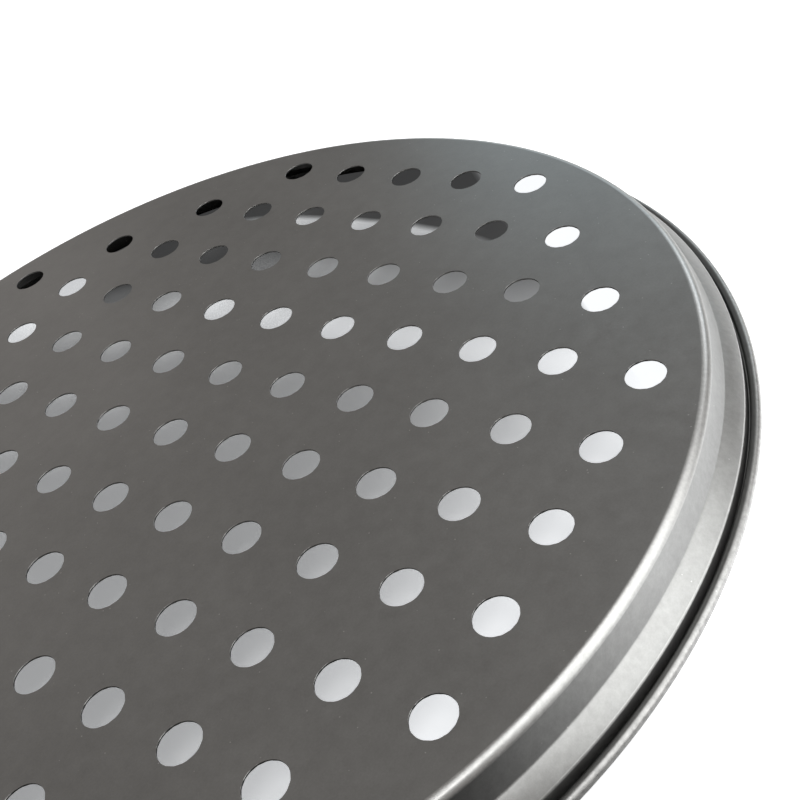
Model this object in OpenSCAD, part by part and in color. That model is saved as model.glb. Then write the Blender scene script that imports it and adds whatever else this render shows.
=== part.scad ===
// Perforated pizza pan: one round steel sheet, pressed into a shallow dish and rolled at its rim.
// It lies base up on its rolled rim, so the face that is seen from above is the pan's underside.
// That underside is called the outer face here, and the side that holds the food the food face.
// The origin is the centre of the plane that the rim rests on, with +Z up.

/* [Pan] */
// Diameter over the rolled rim
rim_d = 320; // [260:1:400]
// Height from the plane that the rim rests on to the outer face of the base
pan_h = 17; // [15:0.5:30]
// Thickness of the coated sheet
sheet_t = 0.5; // [0.4:0.05:0.7]

/* [Wall] */
// Lean of the wall from upright, in degrees
wall_lean = 16; // [6:1:30]
// Radius of the bend from the base to the wall, on the outer face
base_bend_r = 2.5; // [1.5:0.1:3.5]
// Radius of the crease from the wall to the skirt, on the outer face
crease_r = 1; // [0.4:0.1:1.5]

/* [Skirt] */
// Width of the sloping skirt, from the crease out to the neck
skirt_w = 4.3; // [3.5:0.1:8]
// Drop of the skirt, from the crease down to the shoulder
skirt_h = 4.1; // [3:0.1:6]
// Rise of the crowned skirt's middle above a straight slope
skirt_crown = 0.3; // [0.1:0.05:0.5]
// Radius of the shoulder from the skirt to the neck, on the outer face
shoulder_r = 1; // [0.8:0.1:1.5]

/* [Rolled rim] */
// Height of the upright neck, from the plane that the rim rests on to the shoulder's corner
neck_h = 4.75; // [4:0.05:6]
// Radius of the bend from the neck out to the foot of the rim, on the outer face
foot_r = 0.4; // [0.3:0.1:0.6]
// Width of the groove between the neck and the rolled bead
groove_w = 0.6; // [0.5:0.1:1.2]
// Diameter of the rolled bead
bead_d = 2.8; // [2.4:0.1:3.6]
// Turn of the roll from the foot, outwards and over, to the edge of the sheet, in degrees
roll_turn = 285; // [240:7.5:292.5]

/* [Holes] */
// Diameter of each punched hole
hole_d = 10.5; // [6:0.5:16]
// Distance from hole to hole along the rows of the square grid
hole_pitch = 25; // [18:0.5:40]
// Least distance from the centre of a hole to the corner of the base
edge_margin = 12.5; // [10:0.5:30]

/* [Hidden] */

// Curves in section: the most degrees and the most length that one step of a bend takes
bend_step = 7.5;
bend_step_l = 0.7;
// Flats around the pan and around a hole
round_steps = 180;
hole_steps = 48;
// Share of the skirt between its end bends that the crown takes up
crown_share = 0.95;
coat = [0.38, 0.37, 0.35];

// The rolled bead's centre, and the neck that stands inside the groove
bead_r = bead_d / 2;
bead_x = rim_d / 2 - bead_r;
bead_z = bead_r;
neck_r = rim_d / 2 - bead_d - groove_w;

// The dish: heights and radii of the sharp corners that its bends round off
shoulder_z = neck_h;
crease_z = shoulder_z + skirt_h;
crease_x = neck_r - skirt_w;
base_r = crease_x - (pan_h - crease_z) * tan(wall_lean);

// The crown is a wide bend at a corner that stands proud of the middle of the skirt.
// It reaches almost to the bends at the skirt's ends, whose turns follow from the slopes.
skirt_l = norm([skirt_w, skirt_h]);
skirt_slope = atan(skirt_h / skirt_w);
half_turn = atan(2 * skirt_crown / skirt_l);
crown_out = skirt_crown * [skirt_h, skirt_w] / skirt_l;
crown_at = [crease_x + neck_r, crease_z + shoulder_z] / 2 + crown_out;
crease_turn = 90 - wall_lean - (skirt_slope - half_turn);
shoulder_turn = 90 - (skirt_slope + half_turn);
end_reach = max(crease_r * tan(crease_turn / 2), shoulder_r * tan(shoulder_turn / 2));
crown_reach = crown_share * (skirt_l / 2 / cos(half_turn) - end_reach);
crown_r = crown_reach / tan(half_turn);

// The outer face's corners from the axis outwards, each with the radius of its bend
CORNERS = [
    [0, pan_h, 0],
    [base_r, pan_h, base_bend_r],
    [crease_x, crease_z, crease_r],
    [crown_at[0], crown_at[1], crown_r],
    [neck_r, shoulder_z, shoulder_r],
    [neck_r, sheet_t, foot_r],
    [bead_x, sheet_t, 0]
];

// The grid holds every hole whose centre keeps its margin from the corner of the base
hole_reach = base_r - edge_margin;
grid_n = floor(hole_reach / hole_pitch);
HOLES = [
    for (i = [-grid_n:grid_n], j = [-grid_n:grid_n])
        if (norm([i, j]) * hole_pitch <= hole_reach) [i, j] * hole_pitch
];

function dir(a) = [cos(a), sin(a)];
function corner(i) = [CORNERS[i][0], CORNERS[i][1]];
function heading(i) =
    let (run = corner(i + 1) - corner(i))
    atan2(run[1], run[0]);
function reversed(list) = [for (i = [len(list) - 1:-1:0]) list[i]];

// The arc of the bend at corner i, on the surface that lies at this depth into the sheet
function bend(i, depth) =
    let (
        from = heading(i - 1),
        turn = heading(i) - from,
        side = turn < 0 ? 1 : -1,
        r = CORNERS[i][2],
        start = corner(i) - r * tan(abs(turn) / 2) * dir(from),
        centre = start + r * dir(from - 90 * side),
        length = r * abs(turn) * PI / 180,
        steps = ceil(max(abs(turn) / bend_step, length / bend_step_l))
    )
    [for (k = [0:steps]) centre + (r - side * depth) * dir(from + 90 * side + turn * k / steps)];

// The roll of the rim: outwards from the foot, up, back in and down to the sheet's edge in the groove
function roll(depth) =
    let (r = bead_r - sheet_t + depth)
    [
        for (turn = [0:bend_step:roll_turn - bend_step / 2]) [bead_x, bead_z] + r * dir(turn - 90),
        [bead_x, bead_z] + r * dir(roll_turn - 90)
    ];

// One whole surface of the sheet in section, from the axis to the rolled edge
function face(depth) = concat(
    [[0, pan_h - depth]],
    [for (i = [1:len(CORNERS) - 2]) each bend(i, depth)],
    roll(depth)
);

module pressed_sheet() {
    rotate_extrude($fn = round_steps)
        polygon(concat(face(0), reversed(face(sheet_t))));
}

module holes() {
    for (at = HOLES)
        translate([at[0], at[1], pan_h - 2 * sheet_t])
            cylinder(h = 3 * sheet_t, d = hole_d, $fn = hole_steps);
}

module pan() {
    color(coat)
        difference() {
            pressed_sheet();
            holes();
        }
}

pan();
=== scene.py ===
import math

import bpy
from mathutils import Euler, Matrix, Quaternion, Vector
from mathutils.geometry import delaunay_2d_cdt


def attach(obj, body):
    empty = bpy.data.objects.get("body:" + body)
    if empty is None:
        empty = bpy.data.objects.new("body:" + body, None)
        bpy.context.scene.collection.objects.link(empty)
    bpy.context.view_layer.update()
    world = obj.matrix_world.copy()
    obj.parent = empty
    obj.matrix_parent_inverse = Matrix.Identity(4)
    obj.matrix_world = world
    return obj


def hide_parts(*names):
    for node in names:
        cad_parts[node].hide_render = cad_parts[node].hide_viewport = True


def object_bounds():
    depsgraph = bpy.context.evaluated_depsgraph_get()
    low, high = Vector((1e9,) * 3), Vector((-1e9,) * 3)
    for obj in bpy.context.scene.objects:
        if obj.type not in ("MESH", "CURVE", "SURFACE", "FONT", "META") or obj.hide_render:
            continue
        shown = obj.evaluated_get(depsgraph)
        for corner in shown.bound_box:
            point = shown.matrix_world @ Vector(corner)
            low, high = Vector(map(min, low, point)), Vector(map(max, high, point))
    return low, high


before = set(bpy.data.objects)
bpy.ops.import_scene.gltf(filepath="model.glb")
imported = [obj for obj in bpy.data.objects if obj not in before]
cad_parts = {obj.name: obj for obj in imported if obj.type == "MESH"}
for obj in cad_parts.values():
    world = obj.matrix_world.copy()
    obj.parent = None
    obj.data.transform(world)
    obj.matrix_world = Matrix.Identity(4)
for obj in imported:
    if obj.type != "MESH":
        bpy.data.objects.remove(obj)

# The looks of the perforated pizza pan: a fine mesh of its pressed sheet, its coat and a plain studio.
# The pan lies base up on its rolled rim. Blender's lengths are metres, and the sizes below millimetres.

MM = 0.001
CAD_LOW, CAD_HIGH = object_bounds()

# The pressed sheet, by the sizes that the CAD source gives it
RIM_R = round(CAD_HIGH.x / MM, 1)
PAN_H = round(CAD_HIGH.z / MM, 1)
SHEET_T = 0.5
WALL_LEAN = 16.0
BASE_BEND_R = 2.5
CREASE_R = 1.0
SKIRT_W = 4.3
SKIRT_H = 4.1
SKIRT_CROWN = 0.3
CROWN_SHARE = 0.95
SHOULDER_R = 1.0
NECK_H = 4.75
FOOT_R = 0.4
GROOVE_W = 0.6
BEAD_R = 1.4
ROLL_TURN = 285.0
HOLE_R = 5.25
HOLE_PITCH = 25.0
EDGE_MARGIN = 12.5

# The sharp corners of the outer face in section, as (radius, height), which the bends round off
SHOULDER = Vector((RIM_R - 2 * BEAD_R - GROOVE_W, NECK_H))
CREASE = SHOULDER + Vector((-SKIRT_W, SKIRT_H))
BASE_CORNER = Vector((CREASE.x - (PAN_H - CREASE.y) * math.tan(math.radians(WALL_LEAN)), PAN_H))
FOOT = Vector((SHOULDER.x, SHEET_T))

# How fine the mesh is
ROUND_STEPS = 240
HOLE_STEPS = 48
BEND_STEP = 6.0
BEND_STEP_L = 0.5
HOLE_EDGE_R = 0.08
HOLE_EDGE_STEPS = 2
SAME_POINT = 1e-6

# The coat, and the steel that shows through where it is worn. On the bends and the bead that lighter steel
# is also a painted highlight, and the food side's colour is halved as painted shade. Bareness is 0 where the
# coat is whole. The roughness stays above 0.28, because the denoiser takes smoother metal for a mirror and
# leaves dots in it.
COAT_DARK = (0.255, 0.254, 0.25, 1)
COAT_LIGHT = (0.325, 0.324, 0.319, 1)
FOOD_SIDE_PAINTED_SHADE = (0.5, 0.5, 0.5, 1)
COAT_METALLIC = 1.0
COAT_ROUGHNESS = (0.31, 0.35)
PRESSED_ROUGHER = 0.05
PRESSED_FROM = (147.5, 151.0)
STEEL_COLOR = (0.62, 0.61, 0.60, 1)
CUT_BARENESS = 0.3
BEND_WEAR_AND_HIGHLIGHT = 0.5
BEND_HIGHLIGHT_WEAR_R = 2.0
BEAD_WEAR_AND_HIGHLIGHT = 0.75

# The coat's texture. A noise has so many features to the millimetre, then its detail and its roughness. A
# tone is how far from 0.5 the noise counts, and how much it then adds or takes away. Bumps are millimetres.
CLOUD_NOISE, CLOUD_TONE = (0.03, 2), (0.2, 0.5)
MOTTLE_NOISE, MOTTLE_TONE, MOTTLE_BUMP = (0.22, 4, 0.65), (0.2, 0.5), 0.012
GRAIN_NOISE, GRAIN_TONE, GRAIN_BUMP = (2.2, 3, 0.6), (0.25, 0.6), 0.0025
BLOTCH_NOISE, BLOTCH_TONE, BLOTCH_BUMP = (0.6, 3, 0.6), (0.2, 0.8), 0.02
TONE_RANGE = (-1.4, 1.4)
MOTTLE_SPAN = (0.25, 0.75)
GRAIN_ROUGHNESS = (0.3, 0.025)
WEAR_NOISE, WEAR_SPAN, WEAR_SHARE = (0.9, 4, 0.7), (0.3, 0.65), (0.45, 1.0)
SPECK_SCALE, SPECK_REACH, SPECK_COLOR = 0.3, (0.035, 0.06), (0.5, 0.495, 0.485, 1)

# The camera that the hole grid and the rim's circles give
CAMERA_AT = (-129.26, -251.15, 203.70)
CAMERA_TURN = (51.365, 17.708, -58.260)
LENS = 52.66
SENSOR = 36.0
SHIFT = (-0.0784, -0.0602)
CLIP = (0.01, 100)

# The studio: how far the lamps stand from the pan's middle, and each one's direction, size and radiance.
# Distances and sizes are metres.
LAMP_DISTANCE = 1.2
LAMPS = {
    "key_softbox": dict(azimuth=297, elevation=42, roll=-14, size=(1.0, 1.9), radiance=2.9,
                        color=(0.98, 1.0, 0.995)),
    "edge_lamp": dict(azimuth=354, elevation=25, size=(0.5, 0.28), radiance=2.2),
    "far_strip": dict(azimuth=11, elevation=20, size=(1.1, 0.42), radiance=0.92, color=(0.7, 0.9, 1.0)),
    "left_softbox": dict(azimuth=89, elevation=19, size=(1.25, 0.76), radiance=0.12,
                         color=(1.0, 0.93, 0.9)),
    "small_lamp": dict(azimuth=246, elevation=55, size=(0.25, 0.25), radiance=8.0),
}
ROOM_STRENGTH = 0.345
ROOM_COLOR = (1.0, 0.955, 0.915, 1)
BACKDROP_COLOR = (1, 1, 1, 1)

# The floor: its colour, and how much brighter the camera sees it around the pan and, past FAR_RISE, far
# away. In the metal's reflections it is painted dim towards -X, painted brighter along MIRROR_RISE, and loses
# most of that again along MIRROR_FALL. Each pair of places is in millimetres, where a change starts and where
# it ends.
FLOOR_SIZE = 8.0
FLOOR_COLOR = (0.85, 0.85, 0.85, 1)
FLOOR_LIFT = 0.5
FAR_RISE, FAR_LIFT = (250, 700), 1.0
GLOW_COLOR = (0.955, 0.975, 1.0, 1)
DIM_LIGHT = 0.03
MIRROR_RISE = (-75, 12)
MIRROR_FALL = (70, 150)
MIRROR_LIFT = (1.0, 0.2)

# The light that the camera sees under the pan through its holes, all painted into the floor: an even lift,
# more of it towards -X (left) and -Y (near), a streak along Y, and a painted shade towards +X whose border is
# skewed either way from SHADE_Y. A pool is a painted pool of light: (x, y, half width along X, half width
# along Y, lift), and its soft edge is in shares of those. Past the white side's rise, towards its azimuth,
# the floor is painted white.
UNDER_R = RIM_R - BEAD_R
UNDER_LIFT = 0.19
LEFT_RISE, LEFT_LIFT = (40, -60), 0.1
NEAR_RISE, NEAR_LIFT, NEAR_POWER = (-30, -115), 0.48, 2.0
STREAK_X, STREAK_HALF_W, STREAK_END, STREAK_LIFT = 66, 16, (85, 60), 0.34
SHADE_RISE, SHADE_Y, SHADE_SKEW, SHADE_MOST = (94, 125), 15, (0.2, 0.6), 0.9
POOLS = ((111, 24, 10, 58, 0.22), (48, 134, 32, 20, 0.42))
POOL_EDGE = (1.15, 0.85)
WHITE_SIDE_AZIMUTH, WHITE_SIDE_RISE = -42, (116, 123)


def direction(degrees):
    """The unit vector of an angle in a plane, as (x, y)."""
    return Vector((math.cos(math.radians(degrees)), math.sin(math.radians(degrees))))


def tan(degrees):
    return math.tan(math.radians(degrees))


def bend(corner, radius, start_angle, end_angle):
    """The stations of one bend of the outer face: (radius, height, angle of the normal) along the section."""
    turn = end_angle - start_angle
    side = 1 if turn < 0 else -1
    start = corner - radius * tan(abs(turn) / 2) * direction(start_angle)
    centre = start + radius * direction(start_angle - 90 * side)
    length = radius * math.radians(abs(turn))
    steps = math.ceil(max(abs(turn) / BEND_STEP, length / BEND_STEP_L))
    stations = []
    for k in range(steps + 1):
        heading = start_angle + turn * k / steps
        point = centre + radius * direction(heading + 90 * side)
        stations.append((point.x, point.y, heading + 90))
    return stations


def section():
    """The outer face in section, from the edge of the flat base to the rolled edge of the sheet."""
    wall_angle = WALL_LEAN - 90
    slope = math.degrees(math.atan2(SKIRT_H, SKIRT_W))
    skirt_l = math.hypot(SKIRT_W, SKIRT_H)
    half_turn = math.degrees(math.atan(2 * SKIRT_CROWN / skirt_l))
    upper_angle = half_turn - slope
    lower_angle = -half_turn - slope
    crown = (CREASE + SHOULDER) / 2 + SKIRT_CROWN / skirt_l * Vector((SKIRT_H, SKIRT_W))
    end_reach = max(CREASE_R * tan((upper_angle - wall_angle) / 2), SHOULDER_R * tan((lower_angle + 90) / 2))
    crown_reach = CROWN_SHARE * (skirt_l / 2 / math.cos(math.radians(half_turn)) - end_reach)
    stations = bend(BASE_CORNER, BASE_BEND_R, 0, wall_angle)
    stations += bend(CREASE, CREASE_R, wall_angle, upper_angle)
    stations += bend(crown, crown_reach / tan(half_turn), upper_angle, lower_angle)
    stations += bend(SHOULDER, SHOULDER_R, lower_angle, -90)
    stations += bend(FOOT, FOOT_R, -90, 0)
    return stations + roll()


def roll():
    """The stations of the rolled bead: outwards from the foot, up, back in and down to the sheet's edge."""
    bead = Vector((RIM_R - BEAD_R, BEAD_R))
    steps = math.ceil(ROLL_TURN / BEND_STEP)
    stations = []
    for k in range(steps + 1):
        angle = ROLL_TURN * k / steps - 90
        point = bead + (BEAD_R - SHEET_T) * direction(angle)
        stations.append((point.x, point.y, angle + 180))
    return stations


def hole_section():
    """A punched hole's edge from the outer face to the food face: (radius, height, angle of the normal)."""
    edges = ((PAN_H - HOLE_EDGE_R, 90), (PAN_H - SHEET_T + HOLE_EDGE_R, 180))
    stations = []
    for height, start_angle in edges:
        for k in range(HOLE_EDGE_STEPS + 1):
            angle = start_angle + 90 * k / HOLE_EDGE_STEPS
            point = Vector((HOLE_R + HOLE_EDGE_R, height)) + HOLE_EDGE_R * direction(angle)
            stations.append((point.x, point.y, angle))
    return stations


def hole_centres():
    """The square grid's holes that keep their margin from the corner of the base."""
    reach = BASE_CORNER.x - EDGE_MARGIN
    most = math.floor(reach / HOLE_PITCH)
    grid = [Vector((i, j)) * HOLE_PITCH for i in range(-most, most + 1) for j in range(-most, most + 1)]
    return [centre for centre in grid if centre.length <= reach]


def ring_normals(angle, steps):
    """The normals around one level circle, whose angle in the section is 0 outwards and 90 up."""
    out, up = direction(angle)
    return [(out * x, out * y, up) for x, y in (direction(360 * k / steps) for k in range(steps))]


class Surface:
    """Vertices and faces in millimetres; a face's corner has its normal, wear with painted highlight, and
    side.
    """

    def __init__(self):
        self.vertices = []
        self.faces = []
        self.normals = []
        self.bareness_and_highlight = []
        self.food_side = []

    def ring(self, station, steps, centre=(0, 0)):
        """Adds a level circle of vertices, and returns their indices and normals."""
        radius, height, angle = station
        first = len(self.vertices)
        for k in range(steps):
            x, y = direction(360 * k / steps)
            self.vertices.append((centre[0] + radius * x, centre[1] + radius * y, height))
        return list(range(first, first + steps)), ring_normals(angle, steps)

    def point(self, at, height):
        """Adds a single vertex, and returns its index."""
        self.vertices.append((at[0], at[1], height))
        return len(self.vertices) - 1

    def band(self, ring, next_ring, wear_and_highlight=(0, 0), food_side=0):
        """Joins two circles by smooth faces that carry the circles' own normals, wear and painted highlight.
        """
        (low, low_normals), (high, high_normals) = ring, next_ring
        for k in range(len(low)):
            after = (k + 1) % len(low)
            self.faces.append((low[k], low[after], high[after], high[k]))
            self.normals += [low_normals[k], low_normals[after], high_normals[after], high_normals[k]]
            self.bareness_and_highlight += [wear_and_highlight[0], wear_and_highlight[0], wear_and_highlight[1], wear_and_highlight[1]]
            self.food_side += [food_side] * 4

    def plate(self, triangles, indices, up):
        """Adds a level face that looks up or down, from its triangles of numbers into the indices."""
        for triangle in triangles:
            corners = [indices[number] for number in triangle]
            self.faces.append(corners if up > 0 else corners[::-1])
            self.normals += [(0, 0, up)] * 3
            self.bareness_and_highlight += [0] * 3
            self.food_side += [0 if up > 0 else 1] * 3

    def mesh(self, name):
        """The surface as a Blender mesh in metres."""
        mesh = bpy.data.meshes.new(name)
        mesh.from_pydata([Vector(v) * MM for v in self.vertices], [], self.faces)
        mesh.shade_smooth()
        mesh.normals_split_custom_set(self.normals)
        mesh.attributes.new("bareness_and_highlight", "FLOAT", "CORNER").data.foreach_set("value", self.bareness_and_highlight)
        mesh.attributes.new("food_side", "FLOAT", "CORNER").data.foreach_set("value", self.food_side)
        return mesh


def behind(station):
    """The station of the food face that lies behind one of the outer face, with its normal turned over."""
    radius, height, angle = station
    out, up = direction(angle) * SHEET_T
    return radius - out, height - up, angle + 180


def plate_triangles(circles, spare_points):
    """Fills the first circle around the others, as triangles that number all the points in their order."""
    points = [point for circle in circles for point in circle] + spare_points
    edges = []
    first = 0
    for circle in circles:
        last = first + len(circle) - 1
        edges += [(k, k + 1) for k in range(first, last)] + [(last, first)]
        first = last + 1
    vertices, _, faces, sources, _, _ = delaunay_2d_cdt(points, edges, [], 0, SAME_POINT)
    middles = [sum(circle, Vector((0, 0))) / len(circle) for circle in circles[1:]]
    triangles = []
    for face in faces:
        middle = sum((vertices[k] for k in face), Vector((0, 0))) / 3
        if min((middle - hole).length for hole in middles) > HOLE_R:
            triangles.append([sources[k][0] for k in face])
    return triangles


def punched_base(surface, top_rim, bottom_rim):
    """The flat base from its bend to its holes, on both faces, with the punched edge of each hole."""
    circles = [[Vector(surface.vertices[k][:2]) for k in top_rim]]
    tops, bottoms = list(top_rim), list(bottom_rim)
    centres = hole_centres()
    for centre in centres:
        rings = [surface.ring(station, HOLE_STEPS, centre) for station in hole_section()]
        for ring, next_ring in zip(rings, rings[1:]):
            surface.band(ring, next_ring, (CUT_BARENESS, CUT_BARENESS))
        circles.append([Vector(surface.vertices[k][:2]) for k in rings[0][0]])
        tops += rings[0][0]
        bottoms += rings[-1][0]
    spare = [centre + Vector((HOLE_PITCH, HOLE_PITCH)) / 2 for centre in centres]
    spare = [point for point in spare if point.length < BASE_CORNER.x - EDGE_MARGIN]
    for point in spare:
        tops.append(surface.point(point, PAN_H))
        bottoms.append(surface.point(point, PAN_H - SHEET_T))
    triangles = plate_triangles(circles, spare)
    surface.plate(triangles, tops, 1)
    surface.plate(triangles, bottoms, -1)


def bend_wear_and_highlight(stations, k):
    """Wear with a painted highlight on the outer face: full on a convex bend as tight as its set radius, none
    where it is straight.
    """
    if k in (0, len(stations) - 1):
        return 0
    before, after = stations[k - 1], stations[k + 1]
    turn = before[2] - after[2]
    length = math.dist(before[:2], after[:2])
    return BEND_WEAR_AND_HIGHLIGHT * min(1, max(0, math.radians(turn) / length) * BEND_HIGHLIGHT_WEAR_R)


def bead_wear_and_highlight(station):
    """Wear with a painted highlight on the food face, which the bead turns outwards: full at the widest part
    of the rim.
    """
    if station[0] < RIM_R - BEAD_R:
        return 0
    return BEAD_WEAR_AND_HIGHLIGHT * max(0, direction(station[2] + 180).x)


def pan_surface():
    """The whole sheet as one closed surface: both faces of the turned section, its base and its edges."""
    surface = Surface()
    stations = section()
    outer = [surface.ring(station, ROUND_STEPS) for station in stations]
    inner = [surface.ring(behind(station), ROUND_STEPS) for station in stations]
    wear_and_highlight = [bend_wear_and_highlight(stations, k) for k in range(len(stations))]
    bead_wear_and_sheen = [bead_wear_and_highlight(station) for station in stations]
    for k in range(len(stations) - 1):
        surface.band(outer[k + 1], outer[k], (wear_and_highlight[k + 1], wear_and_highlight[k]))
        surface.band(inner[k], inner[k + 1], (bead_wear_and_sheen[k], bead_wear_and_sheen[k + 1]), 1)
    edge_normals = ring_normals(stations[-1][2] - 90, ROUND_STEPS)
    surface.band((inner[-1][0], edge_normals), (outer[-1][0], edge_normals), (CUT_BARENESS, CUT_BARENESS))
    punched_base(surface, outer[0][0], inner[0][0])
    return surface


class Nodes:
    """A node tree under construction."""

    def __init__(self, tree):
        self.tree = tree
        tree.nodes.clear()

    def add(self, kind, inputs=None, **settings):
        """A new node. Each input is a value, or another node's output that is linked to it."""
        node = self.tree.nodes.new(kind)
        for name, value in settings.items():
            setattr(node, name, value)
        for name, value in (inputs or {}).items():
            if isinstance(value, bpy.types.NodeSocket):
                self.tree.links.new(value, node.inputs[name])
            else:
                node.inputs[name].default_value = value
        return node

    def noise(self, place, scale, detail=2.0, roughness=0.5):
        """Soft noise about 0.5, with so many features to the millimetre."""
        inputs = {"Vector": place, "Scale": scale, "Detail": detail, "Roughness": roughness}
        return self.add("ShaderNodeTexNoise", inputs).outputs["Fac"]

    def span(self, value, from_range, to_range=(0, 1)):
        """A value carried from one range to another, and held at its ends."""
        inputs = {"Value": value, "From Min": from_range[0], "From Max": from_range[1],
                  "To Min": to_range[0], "To Max": to_range[1]}
        return self.add("ShaderNodeMapRange", inputs).outputs["Result"]

    def math(self, operation, first, second=0.0):
        return self.add("ShaderNodeMath", {0: first, 1: second}, operation=operation).outputs[0]

    def product(self, first, *others):
        for other in others:
            first = self.math("MULTIPLY", first, other)
        return first

    def total(self, first, *others):
        for other in others:
            first = self.math("ADD", first, other)
        return first

    def rest(self, share):
        """What a share leaves of the whole."""
        return self.math("SUBTRACT", 1.0, share)

    def offset(self, value, middle, half_width):
        """How far a value lies from a middle, in half widths."""
        return self.math("DIVIDE", self.math("SUBTRACT", value, middle), half_width)

    def swing(self, noise, reach, amount):
        """Soft noise as a swing about zero, which is full where the noise is the reach away from 0.5."""
        return self.span(noise, (0.5 - reach, 0.5 + reach), (-amount, amount))

    def place(self):
        """The place of a point on the object, in millimetres."""
        coordinates = self.add("ShaderNodeTexCoord").outputs["Object"]
        inputs = {0: coordinates, "Scale": 1 / MM}
        return self.add("ShaderNodeVectorMath", inputs, operation="SCALE").outputs[0]

    def length(self, vector):
        return self.add("ShaderNodeVectorMath", {0: vector}, operation="LENGTH").outputs["Value"]

    def corner_value(self, name):
        """A value that the mesh keeps at the corners of its faces."""
        return self.add("ShaderNodeAttribute", attribute_name=name).outputs["Fac"]

    def blend(self, factor, first, second, kind="MIX"):
        """A colour mixed from two. The numbers are the node's sockets for colours."""
        inputs = {0: factor, 6: first, 7: second}
        return self.add("ShaderNodeMix", inputs, data_type="RGBA", blend_type=kind).outputs[2]

    def bump(self, height, distance, normal=None):
        """A bump of so many millimetres between a height of 0 and 1."""
        inputs = {"Height": height, "Distance": distance * MM, "Strength": 1.0}
        if normal is not None:
            inputs["Normal"] = normal
        return self.add("ShaderNodeBump", inputs).outputs["Normal"]


def new_material(name):
    """An empty node material, as (material, its nodes)."""
    material = bpy.data.materials.new(name)
    material.use_nodes = True
    return material, Nodes(material.node_tree)


def coat_material():
    """The dark satin coat: mottled, finely grained, with pale specks, worn bends and bead that also carry a
    painted highlight, and a food side darkened as painted shade.
    """
    material, nodes = new_material("coated_steel")
    place = nodes.place()
    cloud = nodes.noise(place, *CLOUD_NOISE)
    mottle = nodes.noise(place, *MOTTLE_NOISE)
    grain = nodes.noise(place, *GRAIN_NOISE)
    blotches = nodes.noise(place, *BLOTCH_NOISE)
    flat = nodes.add("ShaderNodeVectorMath", {0: place, 1: (1, 1, 0)}, operation="MULTIPLY").outputs[0]
    pressed = nodes.span(nodes.length(flat), PRESSED_FROM)

    tone = nodes.total(nodes.swing(cloud, *CLOUD_TONE), nodes.swing(mottle, *MOTTLE_TONE),
                       nodes.swing(grain, *GRAIN_TONE),
                       nodes.product(pressed, nodes.swing(blotches, *BLOTCH_TONE)))
    color = nodes.blend(nodes.span(tone, TONE_RANGE), COAT_DARK, COAT_LIGHT)
    # Painted shade: the food face, which the bead turns outwards, keeps half its colour.
    color = nodes.blend(nodes.corner_value("food_side"), color, FOOD_SIDE_PAINTED_SHADE, "MULTIPLY")
    cells = nodes.add("ShaderNodeTexVoronoi", {"Vector": place, "Scale": SPECK_SCALE}).outputs["Distance"]
    color = nodes.blend(nodes.span(cells, SPECK_REACH, (1, 0)), color, SPECK_COLOR)
    # Bare steel: wear at the cut edges, and on the bends and the bead also a painted highlight.
    patches = nodes.span(nodes.noise(place, *WEAR_NOISE), WEAR_SPAN, WEAR_SHARE)
    color = nodes.blend(nodes.product(nodes.corner_value("bareness_and_highlight"), patches), color, STEEL_COLOR)

    roughness = nodes.total(nodes.span(mottle, MOTTLE_SPAN, COAT_ROUGHNESS),
                            nodes.swing(grain, *GRAIN_ROUGHNESS), nodes.product(pressed, PRESSED_ROUGHER))
    normal = nodes.bump(mottle, MOTTLE_BUMP)
    normal = nodes.bump(nodes.product(pressed, blotches), BLOTCH_BUMP, normal)
    normal = nodes.bump(grain, GRAIN_BUMP, normal)
    shader = nodes.add("ShaderNodeBsdfPrincipled", {"Base Color": color, "Metallic": COAT_METALLIC,
                                                    "Roughness": roughness, "Normal": normal})
    nodes.add("ShaderNodeOutputMaterial", {"Surface": shader.outputs["BSDF"]})
    return material


def make_pan():
    pan = bpy.data.objects.new("pan_sheet", pan_surface().mesh("pan_sheet"))
    bpy.context.scene.collection.objects.link(pan)
    pan.data.materials.append(coat_material())
    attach(pan, "root")
    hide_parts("pan")


def painted_light_under_pan(nodes, x, y):
    """The painted light under the pan: how much the camera sees it lifted, and how much of it the painted
    shade hides.
    """
    left = nodes.span(x, LEFT_RISE, (0, LEFT_LIFT))
    near = nodes.product(nodes.math("POWER", nodes.span(y, NEAR_RISE), NEAR_POWER), NEAR_LIFT)
    across = nodes.offset(x, STREAK_X, STREAK_HALF_W)
    streak = nodes.math("MAXIMUM", nodes.rest(nodes.product(across, across)), 0.0)
    streak = nodes.product(streak, nodes.span(y, STREAK_END, (0, STREAK_LIFT)))
    lift = nodes.total(UNDER_LIFT, left, near, streak)

    from_middle = nodes.math("SUBTRACT", y, SHADE_Y)
    skew_ways = (nodes.product(from_middle, SHADE_SKEW[1]), nodes.product(from_middle, -SHADE_SKEW[0]))
    skew = nodes.math("MAXIMUM", *skew_ways)
    shade = nodes.span(nodes.total(x, skew), SHADE_RISE, (0, SHADE_MOST))
    for pool in POOLS:
        lift, shade = with_pool(nodes, x, y, pool, lift, shade)

    # Painted light: towards one side the floor under the pan is painted white.
    out = direction(WHITE_SIDE_AZIMUTH)
    white_side = nodes.span(nodes.total(nodes.product(x, out.x), nodes.product(y, out.y)), WHITE_SIDE_RISE)
    return nodes.math("MAXIMUM", lift, white_side), nodes.product(shade, nodes.rest(white_side))


def with_pool(nodes, x, y, pool, lift, shade):
    """Adds one painted pool of light, an ellipse with a soft edge that the painted shade leaves out."""
    centre_x, centre_y, half_x, half_y, pool_lift = pool
    across = nodes.offset(x, centre_x, half_x)
    along = nodes.offset(y, centre_y, half_y)
    reach = nodes.math("SQRT", nodes.total(nodes.product(across, across), nodes.product(along, along)))
    inside = nodes.span(reach, POOL_EDGE)
    return nodes.total(lift, nodes.product(inside, pool_lift)), nodes.product(shade, nodes.rest(inside))


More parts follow.
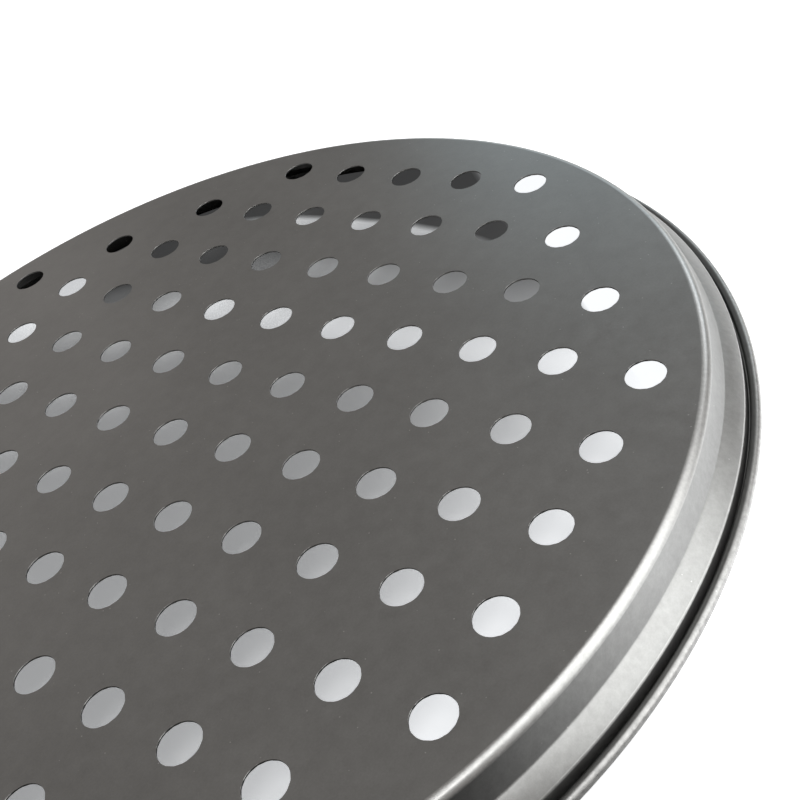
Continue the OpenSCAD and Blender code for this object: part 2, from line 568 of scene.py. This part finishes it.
def floor_material():
    """A white studio floor keeping the pan's shadow, with painted light and shade for the camera and the
    metal.
    """
    material, nodes = new_material("studio_floor")
    place = nodes.place()
    axes = nodes.add("ShaderNodeSeparateXYZ", {"Vector": place})
    x, y = axes.outputs["X"], axes.outputs["Y"]
    radius = nodes.length(place)
    under = nodes.math("LESS_THAN", radius, UNDER_R)
    path = nodes.add("ShaderNodeLightPath")
    mirrored = path.outputs["Is Glossy Ray"]
    seen = nodes.math("MAXIMUM", path.outputs["Is Camera Ray"], path.outputs["Is Transmission Ray"])
    seen_under = nodes.product(seen, under)

    # Painted light and shade on the floor under the pan, which the camera sees through the holes.
    under_lift, under_shade = painted_light_under_pan(nodes, x, y)
    # Painted reflection: for the metal the floor glows along the rise and fall, and is painted dim before the
    # rise.
    rise = nodes.span(x, MIRROR_RISE)
    mirror_lift = nodes.product(rise, nodes.span(x, MIRROR_FALL, MIRROR_LIFT), nodes.rest(under))
    seen_around = nodes.math("SUBTRACT", seen, seen_under)
    around_lift = nodes.span(radius, FAR_RISE, (FLOOR_LIFT, FAR_LIFT))
    lift = nodes.total(nodes.product(seen_around, around_lift), nodes.product(seen_under, under_lift),
                       nodes.product(mirrored, mirror_lift))
    # Painted shade: the metal's dim floor towards -X, and the camera's shade under the pan.
    dimness = nodes.total(nodes.product(mirrored, nodes.rest(rise)), nodes.product(seen_under, under_shade))

    diffuse = nodes.add("ShaderNodeBsdfDiffuse", {"Color": FLOOR_COLOR})
    glow = nodes.add("ShaderNodeEmission", {"Color": GLOW_COLOR, "Strength": lift})
    lit = nodes.add("ShaderNodeAddShader", {0: diffuse.outputs[0], 1: glow.outputs[0]})
    dim = nodes.add("ShaderNodeEmission", {"Strength": DIM_LIGHT})
    both = nodes.add("ShaderNodeMixShader", {0: dimness, 1: lit.outputs[0], 2: dim.outputs[0]})
    nodes.add("ShaderNodeOutputMaterial", {"Surface": both.outputs[0]})
    return material


def make_floor():
    mesh = bpy.data.meshes.new("studio_floor")
    half = FLOOR_SIZE / 2
    corners = [(-half, -half, 0), (half, -half, 0), (half, half, 0), (-half, half, 0)]
    mesh.from_pydata(corners, [], [(0, 1, 2, 3)])
    mesh.materials.append(floor_material())
    floor = bpy.data.objects.new("studio_floor", mesh)
    bpy.context.scene.collection.objects.link(floor)


def make_world():
    """A dim even room, white where the camera looks straight at it."""
    world = bpy.data.worlds.new("studio")
    bpy.context.scene.world = world
    world.use_nodes = True
    nodes = Nodes(world.node_tree)
    room = nodes.add("ShaderNodeBackground", {"Color": ROOM_COLOR, "Strength": ROOM_STRENGTH})
    backdrop = nodes.add("ShaderNodeBackground", {"Color": BACKDROP_COLOR, "Strength": 1.0})
    from_camera = nodes.add("ShaderNodeLightPath").outputs["Is Camera Ray"]
    inputs = {0: from_camera, 1: room.outputs[0], 2: backdrop.outputs[0]}
    both = nodes.add("ShaderNodeMixShader", inputs)
    nodes.add("ShaderNodeOutputWorld", {"Surface": both.outputs[0]})


def make_lamp(name, azimuth, elevation, size, radiance, roll=0, color=(1, 1, 1)):
    """A rectangular softbox that faces the pan from a direction. Its power follows from its radiance."""
    out, up = direction(elevation)
    x, y = direction(azimuth)
    toward_lamp = Vector((out * x, out * y, up))
    lamp = bpy.data.lights.new(name, "AREA")
    lamp.shape = "RECTANGLE"
    lamp.size, lamp.size_y = size
    lamp.energy = radiance * math.pi * size[0] * size[1]
    lamp.color = color
    holder = bpy.data.objects.new(name, lamp)
    holder.location = toward_lamp * LAMP_DISTANCE
    turn = toward_lamp.to_track_quat("Z", "Y") @ Quaternion((0, 0, 1), math.radians(roll))
    holder.rotation_euler = turn.to_euler()
    holder.visible_camera = False
    bpy.context.scene.collection.objects.link(holder)


def make_camera():
    camera = bpy.data.cameras.new("camera")
    camera.lens = LENS
    camera.sensor_width = SENSOR
    camera.shift_x, camera.shift_y = SHIFT
    camera.clip_start, camera.clip_end = CLIP
    holder = bpy.data.objects.new("camera", camera)
    holder.location = Vector(CAMERA_AT) * MM
    holder.rotation_euler = Euler([math.radians(turn) for turn in CAMERA_TURN])
    bpy.context.scene.collection.objects.link(holder)
    bpy.context.scene.camera = holder


make_camera()
make_pan()
make_floor()
make_world()
for lamp_name, lamp_setting in LAMPS.items():
    make_lamp(lamp_name, **lamp_setting)
bpy.context.scene.view_settings.view_transform = "Standard"

bpy.context.view_layer.update()
